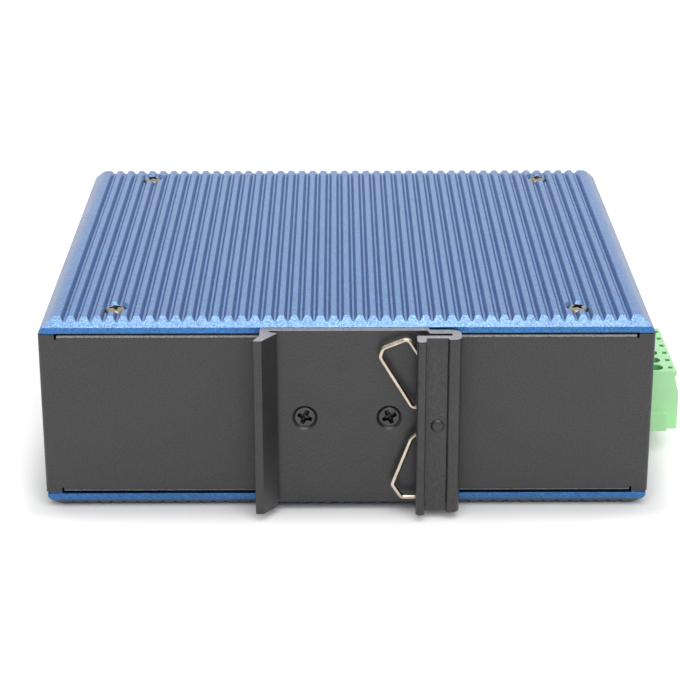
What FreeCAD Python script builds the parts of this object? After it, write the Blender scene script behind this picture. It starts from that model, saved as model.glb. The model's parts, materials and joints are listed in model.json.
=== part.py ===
import FreeCAD, Part
import math
import os

from FreeCAD import Vector

# Industrial ethernet switch for a 35 mm top-hat rail. Millimetres.
# Origin: middle of the clip face that seats on the rail.
# +X runs to the terminal end, +Y from the rail to the front panel, +Z out of the upper cover.

# Folded case
sheet = 1.0                     # steel sheet of the chassis and the front panel
bend_outer = 1.1                # outside radius of every fold
case_length = 145.0
case_depth = 124.2
case_height = 40.5
clip_plate = 2.0                # thickness of the clip under the rail
rear_y = clip_plate             # outer face of the rear wall
front_y = rear_y + case_depth   # outer face of the front panel
half_length = case_length / 2
half_height = case_height / 2

# Ribbed covers
cover_length = 144.2
cover_inner = 20.65             # height of the inner face above the middle plane
cover_edge = 22.1               # where the front and rear edges turn into their bevels
side_edge = 21.4                # where the side edges turn into theirs
cover_crest = 24.3              # height of the rib crests
side_bevel = 2.9
side_round = 2.6                # soft shoulder between the side bevel and the crest
rib_pitch = 3.08
rib_count = 44
groove_width = 1.87
groove_floor = 0.45
groove_depth = 1.14
crest_round = 0.18
rail_inner = 68.7               # seat rails under the cover's long edges
rail_outer = 71.5
rail_setback = 0.4              # how far the rails stop short of the cover's ends
pocket_radius = 2.6
pocket_flare = 0.7              # depth of the 45 degree mouth of a screw pocket
pocket_floor = cover_crest - 2.1
cover_screw_head = 2.45
cover_screw_x = 54.85
cover_screw_rear = rear_y + 8.6
cover_screw_front = front_y - 8.6

# Chassis folds
rear_flange_half = 68.1
rear_flange_depth = 17.0
relief_width = 0.5
relief_height = 1.2
end_flange_depth = 7.0
front_flange_depth = 16.0

# Rail clip
clip_half = 22.0
clip_screw_x = 10.0
clip_sink = 0.3                 # how far the clip screws sit below the seat face
flat_head = 2.6
flat_rim = 0.2
pin_x = 21.2
pin_radius = 1.15
pin_foot = rear_y - 1.9
pin_top = rear_y - 6.9
pin_hole = 1.5                  # wider hole in the channel's outer lip
wire_radius = 0.56
wire_y = rear_y - 4.66

# M3 and M4 fasteners
m3_hole = 1.7
m3_tapped = 1.5
m3_shank = 1.47
m3_head = 2.75
m4_tapped = 2.0
m4_shank = 1.97
m4_head = 3.6
clinch_radius = 2.1             # spigot of a clinched nut or post
panel_screw_y = front_y - 6.5
panel_screw_heights = (-10.0, 10.0)

# Circuit board, on posts from the lower cover
board_top = -14.3
board_thick = 1.6
board_bottom = board_top - board_thick
post_places = [(-60, 26), (60, 26), (-60, 101), (60, 101), (10, 26), (10, 66)]

# Network jacks: four columns of two stacked ports
jack_x = -21.0
jack_pitch = 14.0
jack_columns = 4
jack_width = jack_columns * jack_pitch + 1.4
jack_middle = -1.0
jack_half = 13.3
jack_depth = 25.0
jack_shell = 0.3
port_width = 11.9
port_depth = 13.5

# Fibre module cages
cage_xs = [23.5, 40.5]
cage_width = 14.3
cage_height = 9.8
cage_length = 48.0
cage_wall = 0.3

# Status lights
lights_x = 58.5
light_heights = [-8.4, -2.8, 2.8, 8.4]

# Plug-in screw terminal
pole_pitch = 5.08
poles = 6
plug_rear = rear_y + 30.5
plug_front = plug_rear + poles * pole_pitch
plug_top = -1.4
plug_bottom = -17.2
plug_out = half_length + 10.8     # lip along the top of the wire side
plug_neck = plug_out - 0.5
plug_belly = plug_out + 0.7
plug_lug = 1.5                     # lugs on the plug's two ends
plug_shoulder = half_length + 0.2
nose_start = 64.9
screw_x = plug_out - 5.2
contact_z = -10.2
bar_top = -10.5
bar_bottom = -11.3
screw_mouth = 2.0
screw_head = 1.8
screw_shoulder = -6.0
clamp_tapped = 1.5
clamp_shank = 1.45
cage_top = -9.25
cage_bottom = -14.7
header_top = -5.7
header_back = 61.2
header_mouth = half_length - 0.05
pole_ys = [plug_rear + pole_pitch * (pole + 0.5) for pole in range(poles)]

# Earth screw on the terminal end
ground_y = rear_y + 88.0

# Switch chip under the board, cooled through the lower cover
chip_x = -17.0
chip_y = 62.0
chip_half = 12.0
chip_thick = 1.2
pad_thick = 1.0


def block(x0, x1, y0, y1, z0, z1):
    return Part.makeBox(x1 - x0, y1 - y0, z1 - z0, Vector(x0, y0, z0))


def rod(radius, start, end):
    along = Vector(*end) - Vector(*start)
    return Part.makeCylinder(radius, along.Length, Vector(*start), along)


def fuse_all(shapes):
    return shapes[0].multiFuse(shapes[1:]).removeSplitter()


def cut_all(shape, tools):
    return shape.cut(Part.Compound(tools))


# A corner (u, v, radius) between its neighbours, as the start, middle and end of its arc
def rounded(before, corner, after):
    radius = corner[2] if len(corner) > 2 else 0.0
    point = Vector(corner[0], corner[1], 0)
    if not radius:
        return point, point, point
    back = (Vector(before[0], before[1], 0) - point).normalize()
    ahead = (Vector(after[0], after[1], 0) - point).normalize()
    half = back.getAngle(ahead) / 2
    reach = radius / math.tan(half)
    middle = point + (back + ahead).normalize() * (radius / math.sin(half) - radius)
    return point + back * reach, middle, point + ahead * reach


# Lines and tangent arcs through corners (u, v) or (u, v, radius), laid in the plane named
def path_edges(corners, plane, offset, closed):
    place = {
        "XY": lambda p: Vector(p.x, p.y, offset),
        "XZ": lambda p: Vector(p.x, offset, p.y),
        "YZ": lambda p: Vector(offset, p.x, p.y),
    }[plane]
    following = corners[1:] + corners[:1]
    bends = [rounded(corners[i - 1], corner, following[i]) for i, corner in enumerate(corners)]
    edges = []
    for i, (start, middle, end) in enumerate(bends):
        if start != end:
            edges.append(Part.Arc(place(start), place(middle), place(end)).toShape())
        follow = bends[(i + 1) % len(bends)][0]
        if (closed or i + 1 < len(bends)) and (follow - end).Length > 1e-6:
            edges.append(Part.LineSegment(place(end), place(follow)).toShape())
    return edges


def outline(corners, plane, offset=0.0):
    return Part.Face(Part.Wire(path_edges(corners, plane, offset, True)))


def prism(corners, plane, start, end):
    along = {"XY": Vector(0, 0, 1), "XZ": Vector(0, 1, 0), "YZ": Vector(1, 0, 0)}[plane]
    return outline(corners, plane, start).extrude(along * (end - start))


def rectangle(u0, u1, v0, v1, radius=0.0):
    return [(u0, v0, radius), (u1, v0, radius), (u1, v1, radius), (u0, v1, radius)]


def mirrored_z(shape):
    return shape.mirror(Vector(0, 0, 0), Vector(0, 0, 1))


def mirrored_x(shape):
    return shape.mirror(Vector(0, 0, 0), Vector(1, 0, 0))


# Cross recess of a driver, cut down from height top at the origin's axis
def cross_recess(top, width, depth):
    mouth, tip, thick = width / 2, width / 5, width / 9
    clear = 0.1
    blade = prism([(-mouth, top + clear), (mouth, top + clear), (tip, top - depth), (-tip, top - depth)],
                  "XZ", -thick, thick)
    turned = blade.copy()
    turned.rotate(Vector(0, 0, 0), Vector(0, 0, 1), 90)
    return blade.fuse(turned)


# A screw turned about Z from its half outline (radius, height), with a cross recess in its top
def turned_screw(half_outline, recess_width, recess_depth):
    points = [Vector(radius, 0, height) for radius, height in half_outline]
    body = Part.Face(Part.makePolygon(points + points[:1])).revolve(Vector(0, 0, 0), Vector(0, 0, 1), 360)
    return body.cut(cross_recess(half_outline[0][1], recess_width, recess_depth))


# Pan-head screw, its head's seat at z = 0 and its shank down -Z
def pan_screw(head_radius, head_height, shank_radius, length):
    crown_radius = head_radius * 0.66
    wall_height = head_height * 0.5
    return turned_screw(
        [(0, head_height), (crown_radius, head_height), (head_radius, wall_height), (head_radius, 0),
         (shank_radius, 0), (shank_radius, -length), (0, -length)],
        head_radius * 1.15, head_height * 0.75)


# Countersunk screw, its flat head's top at z = 0
def flat_screw(head_radius, shank_radius, length):
    cone_end = -flat_rim - head_radius + shank_radius
    return turned_screw(
        [(0, 0), (head_radius, 0), (head_radius, -flat_rim), (shank_radius, cone_end),
         (shank_radius, -length), (0, -length)],
        head_radius * 1.15, 1.2)


# Turns a screw made along Z so that its head looks along the given axis, and seats it
def seated(shape, facing, place):
    turned = shape.copy()
    turn = FreeCAD.Rotation(Vector(0, 0, 1), Vector(*facing))
    turned.Placement = FreeCAD.Placement(Vector(*place), turn)
    return turned


def hex_post(flats, x, y, z0, z1):
    corner = flats / math.sqrt(3)
    turns = [math.radians(60 * i) for i in range(6)]
    corners = [(x + corner * math.cos(a), y + corner * math.sin(a)) for a in turns]
    return prism(corners, "XY", z0, z1)


# Cover cut from a ribbed extrusion: V grooves along Y, both ends bevelled, four screw pockets
def heatsink_cover():
    half = cover_length / 2
    plateau = half - side_bevel
    corners = [(-half, cover_inner), (-half, side_edge, 0.4), (-plateau, cover_crest, side_round)]
    for rib in range(rib_count):
        middle = (rib - (rib_count - 1) / 2) * rib_pitch
        corners.append((middle - groove_width / 2, cover_crest, crest_round))
        corners.append((middle - groove_floor / 2, cover_crest - groove_depth))
        corners.append((middle + groove_floor / 2, cover_crest - groove_depth))
        corners.append((middle + groove_width / 2, cover_crest, crest_round))
    corners += [(plateau, cover_crest, side_round), (half, side_edge, 0.4), (half, cover_inner)]
    for side in (1, -1):
        rail = [(side * rail_outer, cover_inner), (side * rail_outer, half_height),
                (side * rail_inner, half_height), (side * rail_inner, cover_inner)]
        corners += rail if side > 0 else rail[::-1]
    cover = prism(corners, "XZ", rear_y, front_y)
    over = 3.0
    rear_wedge = prism([(rear_y - over, cover_edge - over), (rear_y + over, cover_edge + over),
                        (rear_y - over, cover_edge + over)], "YZ", -half - over, half + over)
    front_wedge = rear_wedge.mirror(Vector(0, (rear_y + front_y) / 2, 0), Vector(0, 1, 0))
    tools = [rear_wedge, front_wedge]
    for end in (rear_y, front_y - rail_setback):
        tools.append(block(-half, half, end, end + rail_setback, half_height - 1, cover_inner))
    for x in (-cover_screw_x, cover_screw_x):
        for y in (cover_screw_rear, cover_screw_front):
            flare = Part.makeCone(pocket_radius, pocket_radius + 2 * pocket_flare, 2 * pocket_flare,
                                  Vector(x, y, cover_crest - pocket_flare))
            tools.append(flare)
            tools.append(rod(pocket_radius, (x, y, pocket_floor), (x, y, cover_crest)))
            tools.append(rod(m3_hole, (x, y, cover_inner - over), (x, y, cover_crest)))
    return cut_all(cover, tools)


def lower_cover():
    cover = mirrored_z(heatsink_cover())
    sockets = [rod(clinch_radius, (x, rear_y + y, -cover_inner - 1.0), (x, rear_y + y, -half_height))
               for x, y in post_places]
    return cut_all(cover, sockets)


# L section of a folded edge along the top of a wall, from the wall's foot to the flange's tip
def folded_edge(outer, tip, foot, direction):
    turn = 1 if direction > 0 else -1
    return [(outer, foot), (outer, half_height, bend_outer), (tip, half_height),
            (tip, half_height - sheet), (outer + turn * sheet, half_height - sheet, bend_outer - sheet),
            (outer + turn * sheet, foot)]


# One folded sheet: rear wall, two end walls, and inward flanges stopping at relief notches
def chassis_wrap():
    half = half_length
    front = front_y - 0.2
    plan = [(-half, front), (-half, rear_y, bend_outer), (half, rear_y, bend_outer), (half, front),
            (half - sheet, front), (half - sheet, rear_y + sheet, bend_outer - sheet),
            (-half + sheet, rear_y + sheet, bend_outer - sheet), (-half + sheet, front)]
    walls = prism(plan, "XY", -half_height, half_height)
    foot = half_height - relief_height
    notch = rear_flange_half + relief_width
    end_from = rear_y + rear_flange_depth + 2.0
    end_to = front_y - front_flange_depth - 1.5
    # the folded edges replace the square edges that they grow from
    clear = [block(-notch, notch, rear_y - 1, rear_y + sheet + 1, foot, half_height + 1)]
    for x0, x1 in ((-half - 1, -half + 2), (half - 2, half + 1)):
        clear.append(block(x0, x1, end_from - relief_width, end_to + relief_width, foot, half_height + 1))
    clear += [mirrored_z(tool) for tool in clear]
    walls = cut_all(walls, clear)
    edges = [
        prism(folded_edge(rear_y, rear_y + rear_flange_depth, foot, 1), "YZ",
              -rear_flange_half, rear_flange_half),
        prism(folded_edge(-half, -half + end_flange_depth, foot, 1), "XZ", end_from, end_to),
        prism(folded_edge(half, half - end_flange_depth, foot, -1), "XZ", end_from, end_to),
    ]
    edges += [mirrored_z(edge) for edge in edges]
    wrap = fuse_all([walls] + edges)
    holes = [rod(clinch_radius, (x, rear_y - 1, 0), (x, rear_y + 2, 0)) for x in (-clip_screw_x, clip_screw_x)]
    for x in (-cover_screw_x, cover_screw_x):
        y = cover_screw_rear
        holes.append(rod(m3_tapped, (x, y, -half_height - 1), (x, y, half_height + 1)))
    for z in panel_screw_heights:
        holes.append(rod(m3_hole, (-half - 1, panel_screw_y, z), (half + 1, panel_screw_y, z)))
    holes.append(rod(2.6, (half - 2, ground_y, 0), (half + 1, ground_y, 0)))
    margin = 0.4
    holes.append(block(half - 2, half + 1, plug_rear - 1.0 - margin, plug_front + 1.0 + margin,
                       board_top - 0.1, header_top + margin))
    return cut_all(wrap, holes)


# Folded tray that closes the front: ports, cages and lights look through it
def front_panel():
    half = half_length - sheet - 0.05
    face = block(-half, half, front_y - sheet, front_y, -half_height, half_height)
    face = face.makeFillet(0.3, [edge for edge in face.Edges
                                 if edge.Vertexes[0].Point.y > front_y - 0.01
                                 and edge.Vertexes[-1].Point.y > front_y - 0.01])
    flange_half = half - 4.0
    top = block(-flange_half, flange_half, front_y - front_flange_depth, front_y - sheet / 2,
                half_height - sheet, half_height)
    end = block(half - sheet, half, front_y - 12.0, front_y - sheet / 2, -half_height + 3, half_height - 3)
    tray = fuse_all([face, top, mirrored_z(top), end, mirrored_x(end)])
    gap = 0.3
    tools = [block(jack_x - jack_width / 2 - jack_shell - gap, jack_x + jack_width / 2 + jack_shell + gap,
                   front_y - 3, front_y + 1, board_top - 0.2, jack_middle + jack_half + jack_shell + gap)]
    for x in cage_xs:
        tools.append(block(x - cage_width / 2 - gap, x + cage_width / 2 + gap, front_y - 3, front_y + 1,
                           board_top - 0.2, board_top + cage_height + gap))
    for z in light_heights:
        tools.append(rod(1.55, (lights_x, front_y - 3, z), (lights_x, front_y + 1, z)))
    for x in (-cover_screw_x, cover_screw_x):
        y = cover_screw_front
        tools.append(rod(m3_tapped, (x, y, -half_height - 1), (x, y, half_height + 1)))
    for z in panel_screw_heights:
        tools.append(rod(m3_tapped, (-half - 1, panel_screw_y, z), (half + 1, panel_screw_y, z)))
    return cut_all(tray, tools)


def cover_screws(side):
    screws = []
    for x in (-cover_screw_x, cover_screw_x):
        for y in (cover_screw_rear, cover_screw_front):
            screw = pan_screw(cover_screw_head, 1.4, m3_shank, 6.0)
            screws.append(seated(screw, (0, 0, side), (x, y, side * pocket_floor)))
    return Part.Compound(screws)


def front_panel_screws():
    screws = []
    for side in (-1, 1):
        for z in panel_screw_heights:
            screw = pan_screw(m3_head, 1.7, m3_shank, 5.0)
            screws.append(seated(screw, (side, 0, 0), (side * half_length, panel_screw_y, z)))
    return Part.Compound(screws)


# Section of the extruded clip, in X and the distance d out from the rear wall
def clip_section():
    hook = [
        (-20.35, 0.0, 0.5), (-20.35, 5.2, 0.8), (-21.7, 8.3, 0.2), (-21.6, 8.75, 0.2), (-19.8, 8.75, 0.3),
        (-16.4, 3.85, 0.2), (-16.4, 3.35), (-18.1, 2.9, 0.3), (-18.1, clip_plate, 0.3),
    ]
    channel = [
        (18.75, clip_plate, 0.2), (19.25, 3.95, 0.4), (24.5, 3.95, 0.5), (24.5, 5.35, 0.5),
        (16.2, 5.35, 0.3), (16.2, 9.75, 1.0), (18.35, 9.75, 1.0), (18.35, 7.05, 0.3), (23.4, 7.1, 0.3),
        (23.6, 8.05, 0.7), (26.6, 8.05, 1.9), (26.6, 1.45, 2.4), (19.5, 1.45, 0.3), (19.0, 0.0, 0.2),
    ]
    return [(corner[0], rear_y - corner[1]) + corner[2:] for corner in hook + channel]


def din_clip():
    clip = prism(clip_section(), "XY", -clip_half, clip_half)
    tools = []
    for x in (-clip_screw_x, clip_screw_x):
        tools.append(rod(m3_hole, (x, -1, 0), (x, rear_y + 1, 0)))
        sink_radius = flat_head + flat_rim + clip_sink
        tools.append(Part.makeCone(sink_radius, m3_hole, sink_radius - m3_hole, Vector(x, 0, 0), Vector(0, 1, 0)))
    tools.append(rod(pin_radius, (pin_x, pin_top, 0), (pin_x, pin_foot, 0)))
    tools.append(rod(pin_hole, (pin_x, pin_top - 1, 0), (pin_x, wire_y, 0)))
    return cut_all(clip, tools)


def din_clip_screws():
    screws = [seated(flat_screw(flat_head, m3_shank, 8.0), (0, -1, 0), (x, clip_sink, 0))
              for x in (-clip_screw_x, clip_screw_x)]
    return Part.Compound(screws)


# Round nuts clinched into the rear wall behind the clip
def rear_wall_nuts():
    nuts = []
    for x in (-clip_screw_x, clip_screw_x):
        collar = rod(3.15, (x, rear_y + sheet, 0), (x, rear_y + sheet + 1.5, 0))
        spigot = rod(clinch_radius, (x, rear_y, 0), (x, rear_y + sheet, 0))
        bore = rod(m3_tapped, (x, rear_y - 1, 0), (x, rear_y + 5, 0))
        nuts.append(collar.fuse(spigot).cut(bore))
    return Part.Compound(nuts)


def spring_pin():
    pin = rod(pin_radius, (pin_x, pin_foot, 0), (pin_x, pin_top, 0))
    return pin.makeFillet(0.7, [edge for edge in pin.Edges if edge.BoundBox.YMax < pin_top + 0.01])


# Spring wire: the middle loops round the pin inside the channel, the two loops press on the rail's edge
def din_clip_spring():
    route = [
        (19.6, 12.5), (14.2, 20.95, 1.3), (8.4, 18.65, 1.2), (7.7, 16.45, 1.4), (15.3, 3.9, 1.2),
        (23.1, 3.3, 1.5), (23.1, -2.3, 1.5), (17.4, -2.3, 1.2), (15.2, -4.2, 1.2), (10.75, -16.1, 1.0),
        (12.95, -19.4, 1.0), (22.4, -19.4),
    ]
    line = Part.Wire(path_edges(route, "XZ", wire_y, False))
    start, towards = [Vector(x, wire_y, z) for x, z in (route[0], route[1][:2])]
    ring = Part.Wire([Part.Circle(start, towards - start, wire_radius).toShape()])
    return line.makePipeShell([ring], True, False)


def ground_screw():
    return seated(pan_screw(m4_head, 2.4, m4_shank, 7.0), (1, 0, 0), (half_length + 0.8, ground_y, 0))


def ground_washer():
    ring = rod(4.3, (half_length, ground_y, 0), (half_length + 0.8, ground_y, 0))
    return ring.cut(rod(2.15, (half_length - 1, ground_y, 0), (half_length + 2, ground_y, 0)))


def ground_nut():
    wall = half_length - sheet
    collar = rod(3.9, (wall - 2.0, ground_y, 0), (wall, ground_y, 0))
    spigot = rod(2.6, (wall, ground_y, 0), (half_length, ground_y, 0))
    return collar.fuse(spigot).cut(rod(m4_tapped, (wall - 3, ground_y, 0), (half_length + 1, ground_y, 0)))


def main_pcb():
    corners = [(-70.0, 5.0, 1.5), (69.5, 5.0, 1.5), (69.5, front_y - 2.6, 1.5), (-70.0, front_y - 2.6, 1.5)]
    board = prism(corners, "XY", board_bottom, board_top)
    holes = [rod(1.6, (x, rear_y + y, board_bottom - 1), (x, rear_y + y, board_top + 1)) for x, y in post_places]
    for y in pole_ys:
        holes.append(block(62.35, 63.45, y - 0.55, y + 0.55, board_bottom - 1, board_top + 1))
    return cut_all(board, holes)


def pcb_standoffs():
    posts = []
    for x, y in post_places:
        y += rear_y
        post = hex_post(5.5, x, y, -cover_inner, board_bottom)
        post = post.fuse(rod(clinch_radius, (x, y, -cover_inner - 1.0), (x, y, -cover_inner)))
        posts.append(post.cut(rod(m3_tapped, (x, y, -cover_inner - 0.4), (x, y, board_bottom + 1))))
    return Part.Compound(posts)


def pcb_screws():
    screw = pan_screw(m3_head, 2.0, m3_shank, 5.5)
    return Part.Compound([seated(screw, (0, 0, 1), (x, rear_y + y, board_top)) for x, y in post_places])


def jack_columns_x():
    return [jack_x + (column - (jack_columns - 1) / 2) * jack_pitch for column in range(jack_columns)]


# Outline of one port, latch step outwards: side is +1 for the upper row and -1 for the lower
def port_outline(x, side):
    near, step, far = 2.6, 9.4, 11.1
    half, latch = port_width / 2, 3.2
    corners = [(x - half, near), (x + half, near), (x + half, step), (x + latch, step),
               (x + latch, far), (x - latch, far), (x - latch, step), (x - half, step)]
    return [(u, jack_middle + side * v) for u, v in corners]


def light_slot(x, side, hand, grow):
    low, high = sorted((jack_middle + side * (10.0 - grow), jack_middle + side * (12.2 + grow)))
    left, right = sorted((x + hand * (3.8 - grow), x + hand * (5.9 + grow)))
    return left, right, low, high


# Moulded body of the stacked jacks, with a stepped port for each plug and slots for the light bars
def rj45_housing():
    front = front_y - jack_shell
    body = block(jack_x - jack_width / 2, jack_x + jack_width / 2, front_y - jack_depth, front,
                 jack_middle - jack_half, jack_middle + jack_half)
    tools = []
    for x in jack_columns_x():
        for side in (-1, 1):
            tools.append(prism(port_outline(x, side), "XZ", front - port_depth, front + 1))
            for hand in (-1, 1):
                left, right, low, high = light_slot(x, side, hand, 0.0)
                tools.append(block(left, right, front - 18.0, front + 1, low, high))
    return cut_all(body, tools)


# Folded tin shield round the jacks, with a window for each port and light
def rj45_shield():
    left, right = jack_x - jack_width / 2, jack_x + jack_width / 2
    outer = block(left - jack_shell, right + jack_shell, front_y - jack_depth - jack_shell, front_y,
                  board_top, jack_middle + jack_half + jack_shell)
    tools = [block(left, right, front_y - jack_depth, front_y - jack_shell,
                   board_top - 1, jack_middle + jack_half)]
    for x in jack_columns_x():
        for side in (-1, 1):
            tools.append(prism(port_outline(x, side), "XZ", front_y - 2, front_y + 1))
            for hand in (-1, 1):
                slot_left, slot_right, low, high = light_slot(x, side, hand, 0.0)
                tools.append(block(slot_left, slot_right, front_y - 2, front_y + 1, low, high))
    return cut_all(outer, tools)


# Eight sprung contacts in each port, rising from its back towards the plug
def rj45_contacts():
    wire = 0.35
    contacts = []
    back = front_y - jack_shell - port_depth
    for x in jack_columns_x():
        for side in (-1, 1):
            for pin in range(8):
                across = x + (pin - 3.5) * 1.02
                line = [(back, 2.6), (back + 9.0, 2.6), (back + 9.0, 2.6 + wire), (back + 2.6, 5.0),
                        (back + 2.2, 4.7), (back + 7.0, 2.6 + wire), (back, 2.6 + wire)]
                corners = [(y, jack_middle + side * z) for y, z in line]
                contacts.append(prism(corners, "YZ", across - wire / 2, across + wire / 2))
    return Part.Compound(contacts)


def rj45_light_pipes():
    front = front_y - jack_shell
    bars = []
    for x in jack_columns_x():
        for side in (-1, 1):
            for hand in (-1, 1):
                left, right, low, high = light_slot(x, side, hand, -0.05)
                bars.append(block(left, right, front - 18.0, front_y, low, high))
    return Part.Compound(bars)


# Folded cage for a fibre module: open mouth, vent holes on top, a hole in the floor over its connector
def sfp_cage(x):
    top = board_top + cage_height
    half = cage_width / 2
    back = front_y - cage_length
    shell = block(x - half, x + half, back, front_y, board_top, top)
    tools = [block(x - half + cage_wall, x + half - cage_wall, back + cage_wall, front_y + 1,
                   board_top + cage_wall, top - cage_wall)]
    tools.append(block(x - half + 1.5, x + half - 1.5, back - 1, back + 11.0, board_top - 1, board_top + 1))
    for row in range(4):
        for column in (-1, 0, 1):
            y = back + 16.0 + row * 5.0
            tools.append(rod(1.0, (x + column * 4.0, y, top - 1), (x + column * 4.0, y, top + 1)))
    return cut_all(shell, tools)


def sfp_connector(x):
    back = front_y - cage_length + 1.0
    body = block(x - 5.4, x + 5.4, back, back + 8.5, board_top, board_top + 6.2)
    slot = block(x - 4.4, x + 4.4, back + 2.0, back + 9.0, board_top + 2.9, board_top + 4.1)
    return body.cut(slot)


# One moulding that carries light from the board to the four status windows
def status_light_pipes():
    pieces = []
    back = front_y - 16.0
    for level, z in enumerate(light_heights):
        foot = back + 2.2 * (len(light_heights) - 1 - level)
        pieces.append(rod(1.4, (lights_x, foot, z), (lights_x, front_y + 0.4, z)))
        pieces.append(block(lights_x - 0.9, lights_x + 0.9, foot - 0.9, foot + 0.9, board_top + 0.8, z + 1.2))
    pieces.append(block(lights_x - 0.6, lights_x + 0.6, back, front_y - 4.0, light_heights[0], light_heights[-1]))
    return fuse_all(pieces)


def status_leds():
    back = front_y - 16.0
    return Part.Compound([block(lights_x - 0.8, lights_x + 0.8, back + 2.2 * i - 0.6, back + 2.2 * i + 0.6,
                                board_top, board_top + 0.7) for i in range(len(light_heights))])


def header_pins():
    pins = []
    for y in pole_ys:
        reach = block(62.4, 71.4, y - 0.5, y + 0.5, contact_z - 0.5, contact_z + 0.5)
        leg = block(62.4, 63.4, y - 0.5, y + 0.5, board_bottom - 2.2, contact_z + 0.5)
        pins.append(reach.fuse(leg).removeSplitter())
    return Part.Compound(pins)


# Closed-end header on the board's edge, open towards the plug
def terminal_header():
    body = block(header_back, header_mouth, plug_rear - 1.0, plug_front + 1.0, board_top, header_top)
    socket = block(64.6, header_mouth + 1, plug_rear + 0.1, plug_front - 0.1, -13.45, -6.75)
    keys = [block(66.0, header_mouth, y - 0.5, y + 0.5, -6.85, -6.4) for y in (pole_ys[0], pole_ys[-1])]
    return body.cut(socket).cut(Part.Compound(keys)).cut(header_pins())


# Plug body: screw mouths and test holes on top, wire funnels on the outer face, a nose for the header
def plug_housing():
    side = [(plug_shoulder, plug_top, 0.2), (plug_out, plug_top, 0.4), (plug_out, plug_top - 1.3, 0.2),
            (plug_neck, plug_top - 1.5, 0.2), (plug_belly, plug_top - 6.0, 0.6),
            (plug_belly, plug_bottom, 0.4), (plug_shoulder, plug_bottom)]
    body = prism(side, "XZ", plug_rear, plug_front)
    nose = block(nose_start, plug_shoulder + 1, plug_rear + 0.4, plug_front - 0.4, -13.3, -6.9)
    lug = rectangle(plug_shoulder, plug_out - 2.1, plug_bottom, plug_bottom + 4.6, 0.3)
    lugs = prism(lug, "XZ", plug_rear - plug_lug, plug_front + plug_lug)
    body = fuse_all([body, nose, lugs])
    tools = []
    for y in pole_ys:
        tools.append(rod(screw_mouth, (screw_x, y, screw_shoulder), (screw_x, y, plug_top + 1)))
        tools.append(rod(clamp_shank + 0.1, (screw_x, y, -8), (screw_x, y, screw_shoulder)))
        tools.append(block(screw_x - 2.4, screw_x + 2.4, y - 2.2, y + 2.2, cage_bottom - 0.2, -6.8))
        tools.append(block(plug_out - 1.9, plug_out - 0.8, y - 0.8, y + 0.8, -9.0, plug_top + 1))
        funnel = plug_belly - screw_x - 2.4
        tools.append(Part.makeCone(2.0, 1.4, funnel, Vector(plug_belly, y, -12.7), Vector(-1, 0, 0)))
        tools.append(block(nose_start - 1, 73.9, y - 1.25, y + 1.25, contact_z - 1.25, contact_z + 1.25))
        tools.append(block(73.9, screw_x - 2.3, y - 1.3, y + 1.3, bar_bottom, bar_top))
    return cut_all(body, tools)


# Sprung sockets in the nose, each running on as the bar under its clamp screw
def plug_contacts():
    contacts = []
    for y in pole_ys:
        socket = block(nose_start + 0.5, 73.9, y - 1.2, y + 1.2, contact_z - 1.2, contact_z + 1.2)
        hole = block(nose_start, 73.0, y - 0.65, y + 0.65, contact_z - 0.65, contact_z + 0.65)
        bar = block(73.0, screw_x + 2.1, y - 1.2, y + 1.2, bar_bottom, bar_top)
        contacts.append(socket.cut(hole).fuse(bar).removeSplitter())
    return Part.Compound(contacts)


# Captive clamp screw: its slotted head sits on the shoulder, its tip stands on the contact bar
def clamp_screw(y):
    head = rod(screw_head, (screw_x, y, screw_shoulder), (screw_x, y, screw_shoulder + 1.6))
    shank = rod(clamp_shank, (screw_x, y, bar_top + 0.05), (screw_x, y, screw_shoulder))
    slot = block(screw_x - 3, screw_x + 3, y - 0.3, y + 0.3, screw_shoulder + 0.9, screw_shoulder + 3)
    return head.fuse(shank).cut(slot).removeSplitter()


# Clamp cage: a box ring whose tapped roof climbs the screw and pulls its floor up to the bar
def clamp_cage(y):
    outer = block(screw_x - 2.2, screw_x + 2.2, y - 2.05, y + 2.05, cage_bottom, cage_top)
    window = block(screw_x - 3, screw_x + 3, y - 1.6, y + 1.6, cage_bottom + 0.8, cage_top - 1.1)
    tapped = rod(clamp_tapped, (screw_x, y, cage_top - 2), (screw_x, y, cage_top + 1))
    return outer.cut(window).cut(tapped)


# A square centred on the chip, between two heights
def chip_square(half, z0, z1, radius=0.0):
    return prism(rectangle(chip_x - half, chip_x + half, chip_y - half, chip_y + half, radius), "XY", z0, z1)


def switch_chip():
    return chip_square(chip_half, board_bottom - chip_thick, board_bottom)


def thermal_pad():
    return chip_square(chip_half, board_bottom - chip_thick - pad_thick, board_bottom - chip_thick)


def heat_spreader_block():
    return chip_square(chip_half + 4, -cover_inner, board_bottom - chip_thick - pad_thick, 2.0)


def power_inductors():
    coils = []
    for x, y in ((32, 22), (32, 40)):
        case = prism(rectangle(x - 6.2, x + 6.2, y - 6.2, y + 6.2, 1.5), "XY", board_top, board_top + 6.5)
        dimple = rod(3.6, (x, y, board_top + 6.1), (x, y, board_top + 8))
        coils.append(case.cut(dimple))
    return Part.Compound(coils)


def electrolytic_capacitors():
    cans = []
    for x, y in ((50, 40), (50, 54), (50, 68)):
        can = rod(5.0, (x, y, board_top), (x, y, board_top + 16.0))
        groove = rod(6.0, (x, y, board_top + 2.4), (x, y, board_top + 3.2)).cut(
            rod(4.6, (x, y, board_top + 2), (x, y, board_top + 4)))
        cans.append(can.cut(groove))
    return Part.Compound(cans)


def isolation_transformer():
    core = block(21, 41, 52, 70, board_top + 2.0, board_top + 14.0)
    winding = prism(rectangle(24, 38, 49.5, 72.5, 2.0), "XY", board_top + 4.0, board_top + 12.0)
    foot = block(23, 39, 50, 72, board_top, board_top + 2.0)
    return fuse_all([core, winding, foot])


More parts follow.
